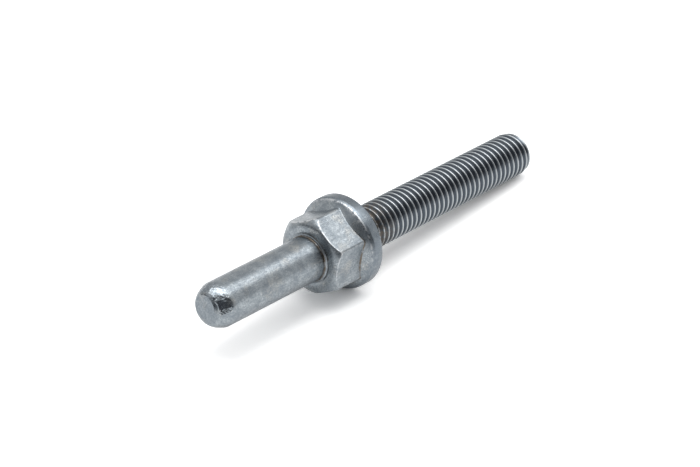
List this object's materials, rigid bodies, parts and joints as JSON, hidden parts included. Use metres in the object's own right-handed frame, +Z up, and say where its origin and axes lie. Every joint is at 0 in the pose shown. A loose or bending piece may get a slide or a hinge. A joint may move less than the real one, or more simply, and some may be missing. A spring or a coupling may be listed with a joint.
{
  "type": "stud bolt",
  "caption": "One-piece steel stud bolt with a plain guide pin, a hexagon with a conical flange, and a coarse-threaded shank.",
  "frame": {"origin": "on the floor, below the middle of the resting bolt's overall length", "axes": "+Z up, +X along the bolt's length towards the thread's end, which lies lower than the pin's nose"},
  "size_m": [0.0826, 0.0166, 0.0167],
  "materials": {
    "zinc_plated_steel": "bright zinc plating, slightly clouded"
  },
  "bodies": {
    "root": {"stud_bolt": "zinc_plated_steel"}
  },
  "joints": []
}
